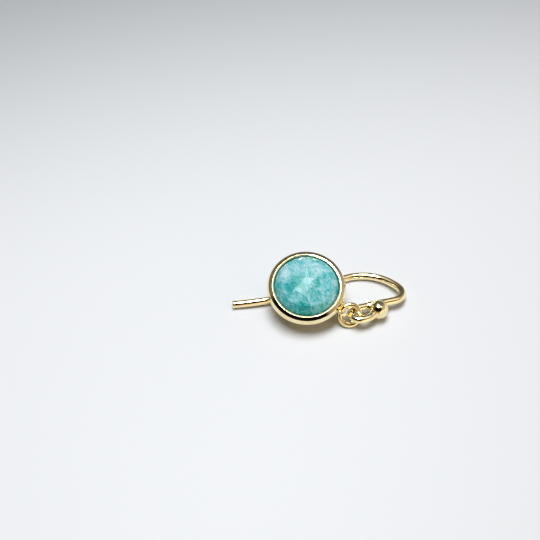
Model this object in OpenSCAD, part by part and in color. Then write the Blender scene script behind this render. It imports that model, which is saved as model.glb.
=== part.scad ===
// Dangle earring, lying on a flat surface: a hook wire, a jump ring and a round
// setting that leans on the wire and holds a faceted stone. Z is up, X runs along the hook.

/* [Hook wire] */
// Diameter of the hook wire
wire_d = 0.88; // [0.8:0.01:0.9]
// Straight cut end of the tail
tail_end = 1.2; // [0.6:0.1:2]
// Length of the straight stretch behind the bend
back_len = 0.9; // [0.6:0.1:1.4]
// Radius of the wide shoulder of the bend
shoulder_r = 5.1; // [4.8:0.1:5.4]
// Radius of the tight corner of the bend
corner_r = 1.42; // [1.2:0.02:1.6]
// Length from the bend to the end loop
front_len = 4.62; // [4.5:0.01:4.8]
// Radius of the end loop, at the middle of the wire
loop_r = 0.93; // [0.9:0.01:1]
// Diameter of the ball that closes the loop
ball_d = 2.2; // [1.9:0.05:2.3]

/* [Setting] */
// Outer diameter of the setting
cup_d = 8.9; // [8.8:0.02:8.96]
// Height of the setting from its back to its rim
cup_h = 2.95; // [2.8:0.01:2.96]
// Diameter of the opening that shows the stone
mouth_d = 7.34; // [7.32:0.02:7.5]
// Thickness of the setting's wall
wall = 0.42; // [0.36:0.01:0.5]
// Diameter of the small soldered loop's wire
eye_wire = 0.44; // [0.36:0.01:0.46]
// Radius of the small soldered loop, at the middle of its wire
eye_r = 0.61; // [0.59:0.01:0.64]

/* [Stone] */
// Diameter of the stone at its girdle
stone_d = 7.72; // [7.6:0.02:7.74]
// Height of the table above the rim of the setting
dome_h = 1.05; // [0.9:0.01:1.2]

/* [Jump ring] */
// Diameter of the jump ring's wire
ring_wire = 0.65; // [0.5:0.01:0.67]
// Radius of the jump ring, at the middle of its wire
ring_r = 1.15; // [1.14:0.01:1.17]

/* [Resting pose] */
// Lift of the hook's front side, which lies on the jump ring
hook_tilt = 7.8; // [7.6:0.1:8]
// Tilt of the stone's face
face_tilt = 16.8; // [16.4:0.1:17.2]
// Tilt of the jump ring, which stands on its edge
ring_tilt = 52.5; // [52:0.5:53]

/* [Hidden] */
$fn = 72;

gold = "#d9b25a";
amazonite = "#5fbcb4";

// Turns of the wire: the tail kicks out, the far side comes back over it
tail_heading = -10.5;
tail_turn = 21.9;
tail_r = 30;
shoulder_turn = -83.9;
corner_turn = -109.4;
loop_turn = 181.9;
closing_turn = 33;
closing_r = 2;
closing_len = 0.3;
ball_reach = 1.1;
cut_edge = 0.08;
wire_sides = 20;
neck_rise = 0.03;
neck_gap = 0.04;

// Where the pieces lie, measured from the tail's end
tail_z = 0.461;
face_at = [8.111, -2.342, 3.92];
face_yaw = -18.31;
ring_at = [12.225, -5.792, 1.238];
ring_yaw = -12.1;
// Middle of the whole, so that the origin is on the surface below it
middle = [9.882, -2.585, 0];

// Profile of the setting, as radius and height above the rim's crest
lip_drop = 0.1;
lip_h = 0.2;
lip_w = 0.28;
edge_r = 0.1;
edge_drop = 0.3;
bevel = 24;
straight_wall = 0.6;
bowl_r = 1.9;
bowl_turn = 40;
back_r = 0.4;
girdle_top = -0.85;
girdle_low = -0.95;
culet_r = 1;
culet = -2.1;
eye_at = [4.617, 0, -1.75];
eye_side = -32.4;
eye_twist = 24;

// Rings of the cut from the table down: corners, radius, height above the rim, first angle
cut = [
    [6, 0.5, dome_h, 0],
    [6, 1.75, dome_h * 0.86, 30],
    [12, 2.95, dome_h * 0.58, 15],
    [24, 3.5, 0, 7.5],
    [24, stone_d / 2, girdle_top, 0],
    [24, stone_d / 2, girdle_low, 0],
    [12, culet_r, culet, 0]
];

// Points on a circle of radius r about c, in steps from angle a to angle b
function arc(c, r, a, b, steps) =
    [for (i = [0 : steps]) let (t = a + (b - a) * i / steps) c + r * [cos(t), sin(t)]];

// Moves a piece from the tail's end to the part's own frame
module lay() {
    translate(-middle) children();
}

// A stretch of the wire's path from place [x, y, heading]: its step is [turn, size], which is
// an arc of that radius, or a straight where turn is 0
function after(place, step, part = 1) =
    let (
        turn = step[0] * part,
        go = step[0] == 0 ? [step[1] * part, 0]
            : step[1] * [sin(abs(turn)), sign(turn) * (1 - cos(turn))],
        a = place[2]
    ) [place[0] + go[0] * cos(a) - go[1] * sin(a), place[1] + go[0] * sin(a) + go[1] * cos(a), a + turn];

// Places along the whole path, close together where it turns tightly
function places(path, start) =
    len(path) == 0 ? [start] : let (
        step = path[0],
        parts = step[0] == 0 ? 1 : ceil(abs(step[0]) / (step[1] > 10 ? 4 : 10)),
        rest = [for (i = [1 : 1 : len(path) - 1]) path[i]]
    ) concat(
        [for (i = [0 : parts - 1]) after(start, step, i / parts)],
        places(rest, after(start, step))
    );

// Round wire through places in its plane, with flat ends
module bent_wire(line, d) {
    n = wire_sides;
    last = len(line) - 1;
    polyhedron(
        points = [for (p = line, k = [0 : n - 1]) let (t = (k + 0.5) * 360 / n, r = d / 2 * cos(t))
            [p[0] - r * sin(p[2]), p[1] + r * cos(p[2]), d / 2 * sin(t)]],
        faces = concat(
            [[for (k = [0 : n - 1]) k]],
            [for (i = [0 : last - 1], k = [0 : n - 1]) let (a = i * n + k, b = i * n + (k + 1) % n)
                [a, a + n, b + n, b]],
            [[for (k = [n - 1 : -1 : 0]) last * n + k]]
        )
    );
}

// Straight tail of the wire with a filed edge at its cut end
module tail(length, d) {
    rotate([0, 90, 0]) rotate_extrude()
        polygon([[0, 0], [d / 2 - cut_edge, 0], [d / 2, cut_edge], [d / 2, length], [0, length]]);
}

// Round wire closed to a ring about the Z axis
module wire_ring(r, d) {
    rotate_extrude() translate([r, 0]) circle(d = d);
}

// Section of the setting: from the mouth over the rim and down the bowl to the flat back
function outer_section() =
    let (
        mouth = mouth_d / 2,
        edge = cup_d / 2,
        bowl = arc([edge - bowl_r, -straight_wall], bowl_r, 0, -bowl_turn, 5),
        low = bowl[5],
        foot_h = back_r * (1 - sin(bowl_turn)),
        foot_x = low[0] + (-cup_h + foot_h - low[1]) * tan(bowl_turn) - back_r * cos(bowl_turn)
    ) concat(
        [[0, -lip_drop - lip_h], [mouth, -lip_drop - lip_h]],
        [for (t = [0 : 30 : 90]) [mouth + lip_w * (1 - cos(t)), -lip_drop * (1 - sin(t))]],
        arc([edge - edge_r, -edge_drop], edge_r, 90 - bevel, 0, 3),
        bowl,
        arc([foot_x, -cup_h + back_r], back_r, -bowl_turn, -90, 4),
        [[0, -cup_h]]
    );

// Section of the room inside: the mouth, the seat under the lip and the hollow bowl
function inner_section() =
    let (
        mouth = mouth_d / 2,
        seat = cup_d / 2 - wall,
        deep = -cup_h + wall,
        bowl = arc([cup_d / 2 - bowl_r, -straight_wall], bowl_r - wall, 0, -bowl_turn, 5),
        low = bowl[5]
    ) concat(
        [[0, 1], [mouth, 1], [mouth, -lip_drop - lip_h], [seat, -straight_wall + 0.1]],
        bowl,
        [[low[0] + (deep - low[1]) * tan(bowl_turn), deep], [0, deep]]
    );

module face_frame() {
    lay() translate(face_at) rotate([0, 0, face_yaw]) rotate([face_tilt, 0, 0]) children();
}

module bezel_cup() {
    color(gold) face_frame() difference() {
        union() {
            rotate_extrude() polygon(outer_section());
            rotate([0, 0, eye_side]) translate(eye_at) rotate([eye_twist - 90, 0, 0])
                wire_ring(eye_r, eye_wire);
        }
        rotate_extrude() polygon(inner_section());
    }
}

// Faceted stone: its corners lie on rings, and flat facets join each ring to the next
module stone() {
    thin = 0.01;
    color(amazonite) face_frame() hull()
        for (ring = cut)
            translate([0, 0, ring[2]]) rotate([0, 0, ring[3]])
                cylinder(h = thin, r = ring[1], $fn = ring[0]);
}

module jump_ring() {
    color(gold) lay() translate(ring_at) rotate([0, 0, ring_yaw]) rotate([ring_tilt, 0, 0])
        wire_ring(ring_r, ring_wire);
}

module ear_hook() {
    path = [
        [tail_turn, tail_r], [0, back_len], [shoulder_turn, shoulder_r],
        [corner_turn, corner_r], [0, front_len], [loop_turn, loop_r],
        [0, closing_len], [closing_turn, closing_r], [0, ball_reach]
    ];
    line = places(path, [tail_end, 0, 0]);
    ball_at = line[len(line) - 1];
    color(gold) lay() translate([0, 0, tail_z]) rotate([-hook_tilt, 0, 0])
        rotate([0, 0, tail_heading]) {
            tail(tail_end - neck_gap, wire_d);
            translate([tail_end - neck_gap / 2, 0, 0]) sphere(d = wire_d + neck_rise);
            bent_wire(line, wire_d);
            translate([ball_at[0], ball_at[1], 0]) sphere(d = ball_d);
        }
}

bezel_cup();
stone();
jump_ring();
ear_hook();
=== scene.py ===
# Gold dangle earring with a faceted green-blue stone, lying on a pale table
import math
import bpy
import bmesh
import numpy as np
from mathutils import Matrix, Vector


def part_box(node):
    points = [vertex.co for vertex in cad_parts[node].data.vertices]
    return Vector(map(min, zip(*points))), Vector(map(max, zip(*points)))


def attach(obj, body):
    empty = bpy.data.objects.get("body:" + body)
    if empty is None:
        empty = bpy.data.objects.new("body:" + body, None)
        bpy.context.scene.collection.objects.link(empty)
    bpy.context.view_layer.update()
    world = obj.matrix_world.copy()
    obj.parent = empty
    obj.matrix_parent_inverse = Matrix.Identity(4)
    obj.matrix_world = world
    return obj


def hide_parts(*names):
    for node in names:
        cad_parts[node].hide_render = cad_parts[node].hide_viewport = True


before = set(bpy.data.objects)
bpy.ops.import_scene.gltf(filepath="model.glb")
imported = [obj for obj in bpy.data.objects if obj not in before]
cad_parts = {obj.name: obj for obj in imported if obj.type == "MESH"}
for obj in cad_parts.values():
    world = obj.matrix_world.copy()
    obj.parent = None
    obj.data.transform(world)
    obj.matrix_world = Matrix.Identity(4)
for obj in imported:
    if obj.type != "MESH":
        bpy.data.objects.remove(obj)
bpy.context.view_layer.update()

# lengths below are in mm and angles in degrees, unless a note says otherwise
mm = 0.001
partOrigin = np.array([9.882, -2.585, 0.0])  # from the hook's cut tail


# the camera looks down at the table from the front left, 73 mm from the earring
shot = {
    "at": (-18.412, -41.955, 56.6),
    "across": 16.35,  # how far it looks to the right of +Y
    "down": 48.0,  # below the horizon
    "lens": 41.42,  # for a square picture as wide as the film
    "film": 36,
    "nearest": 2,
}


def setCamera(look):
    data = bpy.data.cameras.new("tableCamera")
    data.lens = look["lens"]
    data.sensor_width = look["film"]
    data.sensor_fit = "HORIZONTAL"
    data.clip_start = look["nearest"] * mm
    camera = bpy.data.objects.new("tableCamera", data)
    camera.location = Vector(look["at"]) * mm
    camera.rotation_euler = (math.radians(90 - look["down"]), 0, math.radians(-look["across"]))
    bpy.context.collection.objects.link(camera)
    bpy.context.scene.camera = camera


setCamera(shot)
print("camera placed")


def turned(axis, degrees):
    # rotation matrix about one axis: the other two mix by the cosine and sine of the angle
    c, s = math.cos(math.radians(degrees)), math.sin(math.radians(degrees))
    i, j = {"x": (1, 2), "y": (2, 0), "z": (0, 1)}[axis]
    m = np.eye(3)
    m[i, i], m[j, j], m[i, j], m[j, i] = c, c, -s, s
    return m


def leaning(look):
    # tilted about X first, then turned by its yaw
    return turned("z", look["yaw"]) @ turned("x", look["tilt"])


def laid(points, matrix, at):
    # a point turned by the matrix, moved to its place, counted from the origin and made metres
    return (points @ matrix.T + np.array(at) - partOrigin) * mm


def ringsAlong(centres, across, up, radii, sides):
    # each ring is its centre plus radius times (cosine of the angle across, sine of it up)
    t = np.linspace(0, 2 * np.pi, sides, endpoint=False)
    spread = np.cos(t)[None, :, None] * across[:, None] + np.sin(t)[None, :, None] * up[:, None]
    return centres[:, None] + radii[:, None, None] * spread


def wireRound(turn, radius, halfThick, sides):
    # the wire's middle runs round a circle, at the angles turn, with a ring of wire at each
    out = np.stack([np.cos(turn), np.sin(turn), 0 * turn], -1)
    up = np.tile([0.0, 0.0, 1.0], (len(turn), 1))
    return ringsAlong(out * radius, out, up, halfThick, sides)


def skin(name, rings, tips, along):
    # quads join each ring to the next; with tips a fan closes each end, without them the last
    # ring meets the first
    n, sides = rings.shape[:2]
    i = np.arange(n if tips is None else n - 1)[:, None] * sides
    k = np.arange(sides)[None]
    nextI = (i + sides) % (n * sides)
    nextK = (k + 1) % sides
    quads = np.stack([i + k, i + nextK, nextI + nextK, nextI + k], -1).reshape(-1, 4).tolist()
    points = rings.reshape(-1, 3)
    if tips is not None:
        points = np.vstack([points, tips])
        first = n * sides
        last = first - sides
        low = np.stack([np.full(sides, first), nextK[0], k[0]], -1)
        high = np.stack([np.full(sides, first + 1), last + k[0], last + nextK[0]], -1)
        quads += low.tolist() + high.tolist()
    mesh = bpy.data.meshes.new(name)
    mesh.from_pydata(points.tolist(), [], quads)
    # the draw lines' own coordinates: each ring's place along, and cosine and sine round it
    t = np.linspace(0, 2 * np.pi, sides, endpoint=False)
    own = np.stack(np.broadcast_arrays(along[:, None], np.cos(t), np.sin(t)), -1).reshape(-1, 3)
    own = np.vstack([own, np.zeros((len(points) - len(own), 3))])
    mesh.attributes.new("drawn", "FLOAT_VECTOR", "POINT").data.foreach_set("vector", own.ravel())
    mesh.shade_smooth()
    piece = bpy.data.objects.new(name, mesh)
    bpy.context.collection.objects.link(piece)
    return facedOut(piece)


def facedOut(piece):
    # merges doubles and turns a closed mesh's faces outwards
    b = bmesh.new()
    b.from_mesh(piece.data)
    bmesh.ops.remove_doubles(b, verts=b.verts, dist=1e-8)
    bmesh.ops.recalc_face_normals(b, faces=b.faces)
    b.to_mesh(piece.data)
    b.free()
    return piece


def soldered(piece, other):
    # one closed body from two: an exact union, applied
    bpy.context.view_layer.objects.active = piece
    join = piece.modifiers.new("solder", "BOOLEAN")
    join.operation, join.solver, join.object = "UNION", "EXACT", other
    bpy.ops.object.modifier_apply(modifier=join.name)
    bpy.data.objects.remove(other)
    piece.data.shade_smooth()
    return piece


def creased(piece, degrees):
    # keeps an edge sharp where its two faces turn more than this
    b = bmesh.new()
    b.from_mesh(piece.data)
    for edge in b.edges:
        edge.smooth = edge.calc_face_angle(0) < math.radians(degrees)
    b.to_mesh(piece.data)
    b.free()
    return piece


# the hook: one drawn wire, bent flat, whose end is looped and closed by a soldered ball
hookWire = {
    "thick": 0.88,
    "steps": [  # turn with its radius, or 0 with a straight's length
        (0, 1.2), (21.9, 30), (0, 0.9), (-83.9, 5.1), (-109.4, 1.42),
        (0, 4.62), (181.9, 0.93), (0, 0.3), (33, 2), (0, 0.75),
    ],
    "heading": -10.5,  # of the cut tail
    "tilt": -7.8,  # lifts the side with the loop
    "height": 0.461,  # of the tail's middle above the table
    "filedEnd": 0.14,  # rounding of the cut tail
    "endRise": 0.001,  # how far the middle of a cut end stands out
    "sides": 48,
    "spacing": 0.05,
    "ball": 2.2,
    "ballReach": 1.1,  # from the last bend to the ball's middle
    "ballRings": 64,
    "ballSides": 96,
    # soft flats on the ball: direction and depth
    "flats": [
        (0.14, -0.17, 0.97, 0.04), (0.3, -0.9, 0.3, 0.06), (0.8, -0.3, 0.5, 0.05),
        (0.85, -0.5, -0.1, 0.06), (-0.5, 0.35, 0.79, 0.05),
    ],
    "collar": 0.04,  # how far solder swells the wire where it meets the ball
    "collarFade": 0.16,
    "crease": 42,
}


def bentLine(steps, spacing):
    # arcs turn about a centre at right angles to the heading, straights run along it
    at, heading, line, angles = np.zeros(2), 0.0, [], []
    for turn, size in steps:
        length = size if turn == 0 else abs(math.radians(turn)) * size
        s = np.linspace(0, 1, max(2, round(length / spacing)), endpoint=False)
        a = heading + math.radians(turn) * s
        if turn == 0:
            way = np.array([math.cos(heading), math.sin(heading)])
            part, end = at + way * (s * length)[:, None], at + way * length
        else:
            side = math.copysign(size, turn)
            hub = at + side * np.array([-math.sin(heading), math.cos(heading)])
            part = hub + side * np.stack([np.sin(a), -np.cos(a)], -1)
            heading += math.radians(turn)
            end = hub + side * np.array([math.sin(heading), -math.cos(heading)])
        line.append(part)
        angles.append(a)
        at = end
    return np.vstack(line + [at]), np.append(np.concatenate(angles), heading)


def pressed(points, middle, radius, flats):
    # a point past a flat's plane falls straight back onto it
    for *way, depth in flats:
        n = np.array(way) / np.linalg.norm(way)
        past = np.maximum((points - middle) @ n - (radius - depth), 0)
        points = points - past[..., None] * n
    return points


def makeHook(look):
    flat, angle = bentLine(look["steps"], look["spacing"])
    ways = np.stack([np.cos(angle), np.sin(angle), 0 * angle], -1)
    across = np.stack([-np.sin(angle), np.cos(angle), 0 * angle], -1)
    up = np.tile([0.0, 0.0, 1.0], (len(angle), 1))
    centres = np.column_stack([flat, 0 * angle])
    length = np.append(0, np.cumsum(np.linalg.norm(np.diff(flat, axis=0), axis=1)))
    ballAt = centres[-1] + ways[-1] * (look["ballReach"] - look["steps"][-1][1])
    # the cut end is rounded by a quarter circle, and solder swells the wire near the ball
    r, e = look["thick"] / 2, look["filedEnd"]
    radii = r - e + np.sqrt(np.maximum(e**2 - np.maximum(e - length, 0) ** 2, 0))
    fromBall = np.linalg.norm(centres - ballAt, axis=1) - look["ball"] / 2
    radii += look["collar"] * np.exp(-(np.maximum(fromBall, 0) / look["collarFade"]) ** 2)
    rings = ringsAlong(centres, across, up, radii, look["sides"])
    rise = look["endRise"]
    tips = np.array([centres[0] - ways[0] * rise, centres[-1] + ways[-1] * rise])
    matrix = turned("x", look["tilt"]) @ turned("z", look["heading"])
    at = (0, 0, look["height"])
    wire = skin("hookWire", laid(rings, matrix, at), laid(tips, matrix, at), length)
    # the ball: its rings are circles of latitude, pressed flat in a few places
    r, count = look["ball"] / 2, look["ballRings"]
    lat = np.linspace(-np.pi / 2, np.pi / 2, count + 2)[1:-1]
    beads = ringsAlong(
        ballAt + np.stack([0 * lat, 0 * lat, r * np.sin(lat)], -1),
        np.tile([1.0, 0, 0], (count, 1)), np.tile([0, 1.0, 0], (count, 1)),
        r * np.cos(lat), look["ballSides"],
    )
    poles = pressed(ballAt + np.array([[0, 0, -r], [0, 0, r]]), ballAt, r, look["flats"])
    beads = pressed(beads, ballAt, r, look["flats"])
    ball = skin("hookBall", laid(beads, matrix, at), laid(poles, matrix, at), length[-1] + lat * r)
    return creased(soldered(wire, ball), look["crease"])


hook = makeHook(hookWire)
print("hook wire bent,", len(hook.data.polygons), "faces")


# the setting: a spun bowl whose rim is burnished over the stone, with a small loop on its wall
setting = {
    "at": (8.111, -2.342, 3.92),
    "yaw": -18.31,
    "tilt": 16.8,
    # section: radius, height above the rim, rounding of the corner
    "section": [
        (0, -2.95, 0), (3.058, -2.95, 0.4), (4.45, -1.291, 1.7), (4.45, -0.6, 0.3),
        (4.25, -0.145, 0.05), (3.85, -0.003, 0.03), (3.7, -0.035, 0.05), (3.67, -0.3, 0.03),
        (4.03, -0.5, 0.02), (4.03, -1.139, 1.1), (2.863, -2.53, 0.2), (0, -2.53, 0),
    ],
    "arcStep": 5,
    "spacing": 0.25,
    "sides": 288,
    "wobble": 0.012,  # how far the hand-burnished lip wanders
    "wobbleReach": 0.55,  # how far below the rim it fades out
    # slow waves round the rim: how many, where they start in radians, and their share
    "wavesOut": [(3, 1, 0.5), (7, 2.4, 0.3), (16, 0, 0.2)],
    "wavesUp": [(2, 0.6, 0.6), (9, 4, 0.3), (21, 0, -0.2)],
    "eyeAt": (4.617, 0, -1.75),
    "eyeSide": -32.4,  # round the bowl
    "eyeTwist": 24,  # about the line out from the bowl
    "eyeRadius": 0.61,
    "eyeThick": 0.44,
    "eyeSolder": 0.1,  # how far solder swells the loop's wire in the bowl
    "solderFrom": 0.62,  # where that starts, from 0 at the loop's outer end to 1 inside
    "solderOver": 0.3,
    "eyeSteps": 144,
    "eyeSides": 32,
    "crease": 38,
}


def roundedSection(corners, arcStep, spacing):
    # each corner is replaced by an arc that touches both its sides
    c = np.array(corners, float)
    line = [c[0, :2]]
    for before, here, after in zip(c[:-2], c[1:-1], c[2:]):
        a, b = before[:2] - here[:2], after[:2] - here[:2]
        a, b = a / np.linalg.norm(a), b / np.linalg.norm(b)
        half = math.acos(np.clip(a @ b, -1, 1)) / 2
        reach = here[2] / math.tan(half)
        hub = here[:2] + (a + b) / np.linalg.norm(a + b) * here[2] / math.sin(half)
        first, last = here[:2] + a * reach - hub, here[:2] + b * reach - hub
        sweep = math.pi - 2 * half
        t = np.linspace(0, 1, max(3, round(math.degrees(sweep) / arcStep)))[:, None]
        arc = np.sin((1 - t) * sweep) * first + np.sin(t * sweep) * last
        line.append(hub + arc / math.sin(sweep))
    line = np.vstack(line + [c[-1, :2]])
    # long straights get points between, so that the lip can wander evenly
    gaps = np.linalg.norm(np.diff(line, axis=0), axis=1)
    filled = [
        np.linspace(p, q, max(2, math.ceil(gap / spacing) + 1))[:-1]
        for p, q, gap in zip(line[:-1], line[1:], gaps)
    ]
    return np.vstack(filled + [line[-1:]])


def waves(t, parts):
    # sum of sines round the rim, each times its share
    return sum(share * np.sin(count * t + start) for count, start, share in parts)


def makeSetting(look):
    # the section is spun about its axis; near the rim, radius and height wander by slow waves
    section = roundedSection(look["section"], look["arcStep"], look["spacing"])
    body = section[1:-1]
    t = np.linspace(0, 2 * np.pi, look["sides"], endpoint=False)
    rim = np.clip(1 + body[:, 1] / look["wobbleReach"], 0, 1)[:, None] * look["wobble"]
    r = body[:, :1] + rim * waves(t, look["wavesOut"])
    z = body[:, 1:] + rim * waves(t, look["wavesUp"])
    rings = np.stack([r * np.cos(t), r * np.sin(t), z], -1)
    tips = np.array([[0, 0, section[0, 1]], [0, 0, section[-1, 1]]])
    matrix, at = leaning(look), look["at"]
    bowl = skin("bezelCup", laid(rings, matrix, at), laid(tips, matrix, at), body[:, 1])
    # the loop on the wall: a wire ring that solder swells where it sinks into the bowl
    turn = np.linspace(-np.pi, np.pi, look["eyeSteps"], endpoint=False)
    inward = np.clip((np.abs(turn) / np.pi - look["solderFrom"]) / look["solderOver"], 0, 1)
    halfThick = look["eyeThick"] / 2 + look["eyeSolder"] * inward**2
    eyeRings = wireRound(turn, look["eyeRadius"], halfThick, look["eyeSides"])
    eyeTurn = turned("x", look["eyeTwist"] - 90)
    inBowl = turned("z", look["eyeSide"])
    eyePoints = (eyeRings @ eyeTurn.T + np.array(look["eyeAt"])) @ inBowl.T
    eye = skin("bezelEye", laid(eyePoints, matrix, at), None, turn * look["eyeRadius"])
    return creased(soldered(bowl, eye), look["crease"])


cup = makeSetting(setting)
print("setting spun,", len(cup.data.polygons), "faces")


# the jump ring: round wire closed edge to edge, the saw cut still showing as a fine line
jumpRing = {
    "at": (12.225, -5.792, 1.238),
    "yaw": -12.1,
    "tilt": 52.5,
    "radius": 1.15,
    "thick": 0.65,
    "cutAt": 118,  # round the ring
    "cutDepth": 0.03,
    "cutWidth": 0.022,
    "steps": 240,
    "crowding": 5,  # how much closer together the steps are at the cut
    "sides": 40,
}


def makeRing(look):
    # a circle of wire, with a narrow bell-shaped dip in the wire's radius at the cut
    cut, crowd = math.radians(look["cutAt"]), look["crowding"]
    steps = np.linspace(-crowd, crowd, look["steps"] + 1)[:-1]
    turn = cut + np.sinh(steps) / math.sinh(crowd) * np.pi
    fromCut = (turn - cut) * look["radius"]
    dip = look["cutDepth"] * np.exp(-((fromCut / look["cutWidth"]) ** 2))
    rings = wireRound(turn, look["radius"], look["thick"] / 2 - dip, look["sides"])
    return skin("jumpRing", laid(rings, leaning(look), look["at"]), None, turn * look["radius"])


ring = makeRing(jumpRing)
print("jump ring closed,", len(ring.data.polygons), "faces")


# the stone: a rose cut with a small table, its corners a little uneven as cut by hand
roseCut = {
    # rings from the table down: corners, radius, height above the rim, first angle
    "rings": [
        (6, 0.5, 1.05, 0), (6, 1.75, 0.903, 30), (12, 2.95, 0.609, 15), (24, 3.5, 0, 7.5),
        (24, 3.86, -0.85, 0), (24, 3.86, -0.95, 0), (12, 1.0, -2.1, 0),
    ],
    "uneven": 0.05,
    "unevenBetween": (0.2, 1.0),  # heights
    "flatWithin": 0.6,  # faces that turn less are one facet
    "softEdge": 0.022,
    "softOver": 1.5,  # edges that turn more are softened
    "softSteps": 2,
    "seed": 4,
}


def makeStone(look):
    # corners stand evenly on each ring, the upper ones shifted a little, and flat facets wrap them
    rng = np.random.default_rng(look["seed"])
    lowest, highest = look["unevenBetween"]
    rows = []
    for count, radius, height, first in look["rings"]:
        t = np.radians(first + np.arange(count) * 360 / count)
        free = look["uneven"] * (lowest < height < highest)
        t = t + rng.normal(0, 1, count) * free / radius
        r = radius + rng.normal(0, 1, count) * free
        rows.append(np.stack([r * np.cos(t), r * np.sin(t), np.full(count, height)], -1))
    points = laid(np.vstack(rows), leaning(setting), setting["at"])
    b = bmesh.new()
    corners = [b.verts.new(p) for p in points.tolist()]
    bmesh.ops.convex_hull(b, input=corners)
    nearlyFlat = math.radians(look["flatWithin"])
    bmesh.ops.dissolve_limit(b, angle_limit=nearlyFlat, verts=b.verts, edges=b.edges)
    bmesh.ops.recalc_face_normals(b, faces=b.faces)
    mesh = bpy.data.meshes.new("faceted")
    b.to_mesh(mesh)
    b.free()
    stone = bpy.data.objects.new("facetedStone", mesh)
    bpy.context.collection.objects.link(stone)
    # polishing takes the sharpness off the edges between facets
    polish = stone.modifiers.new("polish", "BEVEL")
    polish.width = look["softEdge"] * mm
    polish.segments = look["softSteps"]
    polish.limit_method = "ANGLE"
    polish.angle_limit = math.radians(look["softOver"])
    polish.use_clamp_overlap = True
    bpy.context.view_layer.objects.active = stone
    bpy.ops.object.modifier_apply(modifier=polish.name)
    return stone


stone = makeStone(roseCut)
print("stone cut,", len(stone.data.polygons), "faces")


class Shader:
    # short names for the nodes and wires of a material or of the sky
    def __init__(self, owner):
        owner.use_nodes = True
        self.tree = owner.node_tree
        self.nodes = self.tree.nodes
        self.surface = self.nodes.get("Principled BSDF")

    def add(self, kind, **settings):
        node = self.nodes.new(kind)
        for key, value in settings.items():
            setattr(node, key, value)
        return node

    def put(self, value, socket):
        # a wire from another node, or a plain value
        if isinstance(value, bpy.types.NodeSocket):
            self.tree.links.new(value, socket)
        else:
            socket.default_value = value

    def fill(self, node, **values):
        # inputs by name, with _ for a space
        for name, value in values.items():
            self.put(value, node.inputs[name.replace("_", " ")])
        return node

    def numbers(self, operation, *values):
        node = self.add("ShaderNodeMath", operation=operation)
        for value, socket in zip(values, node.inputs):
            self.put(value, socket)
        return node.outputs["Value"]

    def vectors(self, operation, *values):
        node = self.add("ShaderNodeVectorMath", operation=operation)
        for value, socket in zip(values, node.inputs):
            self.put(value, socket)
        isNumber = operation in ("DISTANCE", "LENGTH", "DOT_PRODUCT")
        return node.outputs["Value" if isNumber else "Vector"]

    def noise(self, where, scale, detail, rough=0.5, twist=0, out="Fac"):
        node = self.add("ShaderNodeTexNoise")
        self.fill(node, Vector=where, Scale=scale, Detail=detail, Roughness=rough, Distortion=twist)
        return node.outputs[out]

    def ranged(self, value, low, high, newLow=0.0, newHigh=1.0, ease="SMOOTHSTEP"):
        node = self.add("ShaderNodeMapRange", interpolation_type=ease)
        self.fill(node, Value=value, From_Min=low, From_Max=high, To_Min=newLow, To_Max=newHigh)
        return node.outputs["Result"]

    def ramp(self, value, shades):
        node = self.fill(self.add("ShaderNodeValToRGB"), Fac=value)
        stops = node.color_ramp.elements
        stops.remove(stops[0])
        for i, (place, shade) in enumerate(shades):
            stop = stops[0] if i == 0 else stops.new(place)
            stop.position, stop.color = place, shade
        return node.outputs["Color"]

    def blend(self, share, a, b):
        # this node has a socket for each kind of value, told apart by their identifiers
        node = self.add("ShaderNodeMix", data_type="RGBA")
        sockets = {socket.identifier: socket for socket in [*node.inputs, *node.outputs]}
        self.put(share, sockets["Factor_Float"])
        self.put(a, sockets["A_Color"])
        self.put(b, sockets["B_Color"])
        return sockets["Result_Color"]

    def mapped(self, where, size, at=(0, 0, 0), turn=(0, 0, 0)):
        # a place as seen from at, turned back, and counted in sizes
        node = self.add("ShaderNodeMapping", vector_type="TEXTURE")
        self.fill(node, Vector=where, Location=at, Rotation=turn, Scale=size)
        return node.outputs["Vector"]

    def place(self, size, at=(0, 0, 0), turn=(0, 0, 0)):
        # the piece's own coordinates, in sizes
        where = self.add("ShaderNodeTexCoord").outputs["Object"]
        return self.mapped(where, [mm * side for side in size], at, turn)

    def bump(self, height, depth, strength, over=None):
        node = self.add("ShaderNodeBump")
        self.fill(node, Height=height, Distance=depth * mm, Strength=strength)
        if over is not None:
            self.fill(node, Normal=over)
        return node.outputs["Normal"]


# polished gold: a warm pale plate with faint draw lines, hairline scratches and softer patches
goldLooks = {
    "gold_wire": {
        "pale": (0.97, 0.87, 0.55, 1), "warm": (0.93, 0.77, 0.42, 1),
        "gloss": (0.015, 0.06), "ripple": 0.012,
    },
    "gold_ring": {
        "pale": (0.97, 0.84, 0.51, 1), "warm": (0.92, 0.74, 0.38, 1),
        "gloss": (0.015, 0.06), "ripple": 0.012,
    },
    "gold_setting": {
        "pale": (0.97, 0.87, 0.56, 1), "warm": (0.93, 0.78, 0.44, 1),
        "gloss": (0.02, 0.07), "ripple": 0.02,
    },
}

# what all three share
plating = {
    # noises: scale, detail, roughness and twist
    "patches": (0.9, 4, 0.55, 0.4),
    "lines": (1.6, 4, 0.6),
    "hairs": (1.0, 2, 0.5),
    "ripples": (1.7, 2, 0.4),
    # between which of a noise's values it goes from none to all
    "warmRange": (0.35, 0.7),
    "dullRange": (0.3, 0.75),
    "hairRange": (0.52, 0.72),
    "lineStretch": (0.35, 9, 9),  # draw lines change slowly along the wire, fast round it
    "hairSize": (0.03, 0.9, 0.2),
    "hairTurn": (0.3, 0.2, 0.7),  # radians
    "hairDull": 0.03,  # roughness that a scratch adds
    # bumps: depth and strength
    "lineDepth": (0.0016, 0.6),
    "hairDepth": (0.0008, 0.5),
    "rippleStrength": 0.35,
}


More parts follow.
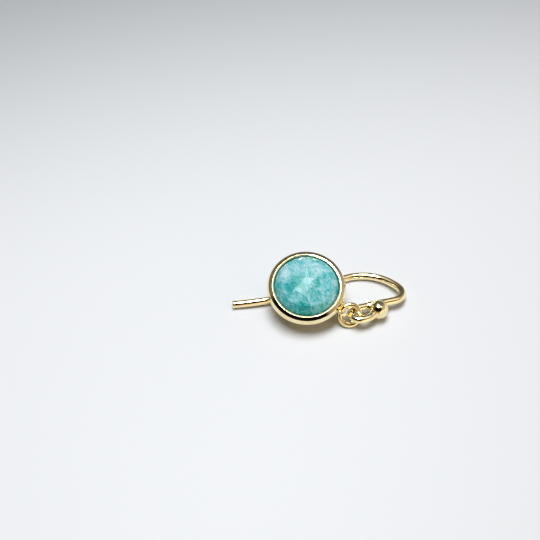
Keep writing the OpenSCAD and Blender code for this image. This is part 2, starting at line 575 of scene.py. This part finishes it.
def polishedGold(name, look):
    material = bpy.data.materials.new(name)
    s = Shader(material)
    inMm = s.place((1, 1, 1))
    drawn = s.add("ShaderNodeAttribute", attribute_name="drawn").outputs["Vector"]
    lines = s.noise(s.vectors("MULTIPLY", drawn, plating["lineStretch"]), *plating["lines"])
    patches = s.noise(inMm, *plating["patches"])
    hairs = s.noise(s.place(plating["hairSize"], turn=plating["hairTurn"]), *plating["hairs"])
    ripples = s.noise(inMm, *plating["ripples"])
    warmth = s.ranged(patches, *plating["warmRange"])
    dull = s.ranged(patches, *plating["dullRange"], *look["gloss"])
    scratched = s.ranged(hairs, *plating["hairRange"])
    wave = s.bump(ripples, look["ripple"], plating["rippleStrength"])
    fine = s.bump(lines, *plating["lineDepth"], wave)
    s.fill(
        s.surface,
        Base_Color=s.blend(warmth, look["pale"], look["warm"]),
        Metallic=1.0,
        Roughness=s.numbers("MULTIPLY_ADD", scratched, plating["hairDull"], dull),
        Normal=s.bump(hairs, *plating["hairDepth"], fine),
    )
    return material


# milky green-blue stone: a level from deep to pale is the sum of clouds, grain and patches, and
# its shade is crossed by a healed crack and fine threads; tiny pale dots on it are painted glints
stoneLook = {
    # shades from the deepest teal over milky green-blue to nearly white, and the levels they span
    "shades": [
        (0.04, (0.005, 0.19, 0.18, 1)), (0.38, (0.018, 0.31, 0.305, 1)),
        (0.6, (0.15, 0.43, 0.46, 1)), (0.9, (0.4, 0.56, 0.61, 1)),
    ],
    "levels": (-0.45, 1.2),
    "white": (0.4, 0.56, 0.61, 1),
    # noises as for the gold; a range is from and to which of its values, and what they become
    "clouds": (0.55, 5, 0.62, 0.9),
    "cloudRange": (0.3, 0.7, 0.16, 0.6),
    "grain": (1.0, 7, 0.68, 1.2),
    "grainSize": (0.35, 0.6, 0.45),
    "grainTurn": 0.6,  # radians
    "grainRange": (0.36, 0.66, -0.3, 0.34),
    "grainDepth": (0.002, 0.3),
    # patches in the stone's own plane: middle x and y, radius, and how much paler or deeper
    "patches": [
        (-2.0, 1.5, 1.5, 0.26), (-2.1, 0.7, 0.8, 0.14), (0.5, 1.6, 1.4, 0.26),
        (1.9, 2.0, 1.0, 0.22), (0.15, 0.1, 0.8, 0.2), (-0.5, 3.2, 0.7, 0.2),
        (2.3, 0.7, 1.2, 0.12), (-2.9, -1.4, 0.8, 0.2), (-1.5, -1.6, 0.28, 0.3),
        (0.5, -0.9, 1.0, 0.12), (2.6, -1.7, 1.0, 0.08), (-1.8, -0.5, 0.9, -0.16),
        (-0.7, -0.9, 0.7, -0.12), (-0.6, 2.5, 0.5, -0.2), (1.1, -0.3, 0.45, -0.12),
        (0.0, -3.2, 1.2, -0.24), (-3.3, 1.5, 0.7, -0.2), (-2.2, 2.8, 0.8, -0.16),
        (3.2, -0.9, 0.8, -0.12),
    ],
    "patchEdge": (0.45, 1.15),  # where a patch starts to fade and ends, in radii
    "stir": (1.3, 5),
    "stirBy": 2.2,  # how far the stirring moves their edges, from side to side
    # the pale healed crack: its two ends in the same plane, and its width
    "crack": ((0.0, -0.9), (1.05, -3.3), 0.16),
    "crackRange": (0.3, 1.1, 0.6, 0.0),
    "threads": (1.0, 3, 0.5),
    "threadSize": (1.6, 0.07, 0.5),
    "threadTurn": -0.75,  # radians
    "threadRange": (0.54, 0.7, 0.0, 0.5),
    "threadPlaces": (0.7, 2, 0.5, 0.3),
    "threadPlaceRange": (0.42, 0.6),
    # painted glints: the size of a scattered pattern of tiny pale dots, and the range of distances
    # that makes each dot
    "glintScale": 2.6,
    "glintRange": (0.05, 0.13, 0.55, 0.0),
    "gloss": 0.14,
    "shine": 0.22,
    "bending": 1.53,  # refractive index
    "glow": 0.45,  # share of the light that passes below the surface
    "glowReach": (0.5, 1.0, 0.95),  # for red, green and blue
    "glowScale": 0.6,
}


def milkyStone(name, look):
    material = bpy.data.materials.new(name)
    s = Shader(material)
    at = tuple((np.array(setting["at"]) - partOrigin) * mm)
    tilt, yaw = math.radians(setting["tilt"]), math.radians(setting["yaw"])
    inMm = s.place((1, 1, 1), at, (tilt, 0, yaw))
    clouds = s.noise(inMm, *look["clouds"])
    inGrain = s.place(look["grainSize"], at, (tilt, 0, yaw + look["grainTurn"]))
    grain = s.noise(inGrain, *look["grain"])
    cloudy, grainy = s.ranged(clouds, *look["cloudRange"]), s.ranged(grain, *look["grainRange"])
    level = s.numbers("ADD", cloudy, grainy)
    # patches are read from the plane alone, with their edges stirred by a coarse noise
    by = look["stirBy"]
    stir = s.noise(inMm, *look["stir"], out="Color")
    stirred = s.vectors("MULTIPLY_ADD", stir, (by, by, 0), inMm)
    flat = s.vectors("MULTIPLY_ADD", stirred, (1, 1, 0), (-by / 2, -by / 2, 0))
    full, gone = look["patchEdge"]
    for x, y, radius, amount in look["patches"]:
        far = s.vectors("DISTANCE", flat, (x, y, 0))
        patch = s.ranged(far, radius * full, radius * gone, amount, 0.0)
        level = s.numbers("ADD", level, patch)
    milky = s.ramp(s.ranged(level, *look["levels"], ease="LINEAR"), look["shades"])
    # the crack is a long thin patch whose ends and sides fade
    (x0, y0), (x1, y1), width = look["crack"]
    inCrack = s.mapped(
        flat, (math.hypot(x1 - x0, y1 - y0) / 2, width, 1),
        ((x0 + x1) / 2, (y0 + y1) / 2, 0), (0, 0, math.atan2(y1 - y0, x1 - x0)),
    )
    crack = s.ranged(s.vectors("LENGTH", inCrack), *look["crackRange"])
    milky = s.blend(crack, milky, look["white"])
    # fine pale threads lie side by side where a coarse noise lets them show, as such stone grows
    inThreads = s.place(look["threadSize"], at, (tilt, 0, yaw + look["threadTurn"]))
    threads = s.ranged(s.noise(inThreads, *look["threads"]), *look["threadRange"])
    places = s.ranged(s.noise(inMm, *look["threadPlaces"]), *look["threadPlaceRange"])
    milky = s.blend(s.numbers("MULTIPLY", threads, places), milky, look["white"])
    # painted glints: tiny pale dots over the whole stone stand in for sparkle off its facets
    glintCells = s.fill(s.add("ShaderNodeTexVoronoi"), Vector=inMm, Scale=look["glintScale"])
    paintedGlints = s.ranged(glintCells.outputs["Distance"], *look["glintRange"])
    s.fill(
        s.surface,
        Base_Color=s.blend(paintedGlints, milky, look["white"]),
        Roughness=look["gloss"],
        IOR=look["bending"],
        Specular_IOR_Level=look["shine"],
        Subsurface_Weight=look["glow"],
        Subsurface_Radius=look["glowReach"],
        Subsurface_Scale=look["glowScale"] * mm,
        Normal=s.bump(grain, *look["grainDepth"]),
    )
    return material


golden = (
    (hook, "ear_hook", "gold_wire"),
    (ring, "jump_ring", "gold_ring"),
    (cup, "bezel_cup", "gold_setting"),
)
for piece, node, slotName in golden:
    piece.data.materials.clear()
    piece.data.materials.append(polishedGold(slotName + "Finish", goldLooks[slotName]))
    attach(piece, "root")
    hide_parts(node)
stone.data.materials.append(milkyStone("milkyStone", stoneLook))
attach(stone, "root")
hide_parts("stone")
print("finishes on")


# the studio: a pale table, a soft sky with a dark gap towards the camera, and one window
studio = {
    "tableSize": 1200,
    "tableColour": (0.6, 0.612, 0.634, 1),
    "tableFar": (0.385, 0.405, 0.432, 1),  # the table's back falls into shade
    "shadeRange": (8, 105),  # behind the earring's middle
    "tableDull": 0.6,  # roughness
    # for each axis: how far a direction points along it, from -1 to 1, then brightness and warmth;
    # the first axis is nearly overhead, the second to the right, the third to the camera's side
    "sky": [
        ((0.0, 0.06, 1.0), [
            (-0.1, 0.5, 0.8), (0.0, 0.5, 0.8), (0.18, 0.26, 0.7), (0.4, 0.14, 0.6),
            (0.62, 0.14, 0.5), (0.76, 0.18, 0.4), (0.84, 0.4, 0.3), (0.9, 0.9, 0.2),
            (0.96, 1.3, 0.1), (1.0, 1.4, 0.0),
        ]),
        ((0.85, -0.5, 0.0), [
            (-0.7, 0.6, 0), (-0.3, 0.8, 0), (0.3, 0.85, 0), (0.6, 2.6, 0), (0.8, 4.0, 0),
        ]),
        ((-0.3, -0.95, 0.0), [(0.0, 1.0, 0), (0.5, 1.0, 1.0), (0.95, 2.1, 1.2)]),
    ],
    "warmthTakes": (0, 0.15, 0.34),  # share of red, green and blue that warmth takes away
    # the gap is a squashed ball near the unit sphere: its middle and half sizes
    "gapAt": (-0.33, -0.42, 0.66),
    "gapSize": (0.74, 0.62, 0.38),
    "gapRange": (0.86, 1.1, 0.02, 1.0),  # from its inside to its outside, dark to full light
    "windowAt": (-12, 14, 200),
    "windowSize": (140, 70),
    "windowPower": 0.485,  # W
    "windowTint": (0.94, 0.975, 1.0),
}


def setTable(look):
    h = look["tableSize"] / 2 * mm
    mesh = bpy.data.meshes.new("tableTop")
    mesh.from_pydata([(-h, -h, 0), (h, -h, 0), (h, h, 0), (-h, h, 0)], [], [(0, 1, 2, 3)])
    table = bpy.data.objects.new("tableTop", mesh)
    bpy.context.collection.objects.link(table)
    material = bpy.data.materials.new("paleTable")
    s = Shader(material)
    split = s.fill(s.add("ShaderNodeSeparateXYZ"), Vector=s.place((1, 1, 1)))
    shade = s.ranged(split.outputs["Y"], *look["shadeRange"])
    s.fill(
        s.surface,
        Base_Color=s.blend(shade, look["tableColour"], look["tableFar"]),
        Roughness=look["tableDull"],
    )
    mesh.materials.append(material)


def setSky(look):
    # light is the product of one ramp along each axis, near black in the gap
    world = bpy.data.worlds.new("studioSky")
    bpy.context.scene.world = world
    s = Shader(world)
    where = s.add("ShaderNodeTexCoord").outputs["Generated"]
    inGap = s.mapped(where, look["gapSize"], look["gapAt"])
    light = s.ranged(s.vectors("LENGTH", inGap), *look["gapRange"])
    for axis, stops in look["sky"]:
        facing = s.ranged(s.vectors("DOT_PRODUCT", where, axis), -1, 1, ease="LINEAR")
        shades = [
            ((along + 1) / 2, (*[power * (1 - take * warmth) for take in look["warmthTakes"]], 1))
            for along, power, warmth in stops
        ]
        light = s.vectors("MULTIPLY", light, s.ramp(facing, shades))
    s.fill(s.nodes["Background"], Color=light)


def setWindow(look):
    data = bpy.data.lights.new("window", "AREA")
    data.shape = "RECTANGLE"
    data.size, data.size_y = np.array(look["windowSize"]) * mm
    data.energy = look["windowPower"]
    data.color = look["windowTint"]
    window = bpy.data.objects.new("window", data)
    window.location = Vector(look["windowAt"]) * mm
    window.rotation_euler = window.location.to_track_quat("Z", "Y").to_euler()
    bpy.context.collection.objects.link(window)


bpy.context.scene.view_settings.view_transform = "Standard"
setTable(studio)
setSky(studio)
setWindow(studio)
print("studio set")

for piece, node in ((hook, "ear_hook"), (ring, "jump_ring"), (cup, "bezel_cup"), (stone, "stone")):
    own = np.array([piece.matrix_world @ v.co for v in piece.data.vertices])
    apart = np.abs(np.array([own.min(0), own.max(0)]) - np.array(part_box(node))).max() / mm
    print(node, "box differs from the CAD by", round(float(apart), 3), "mm")
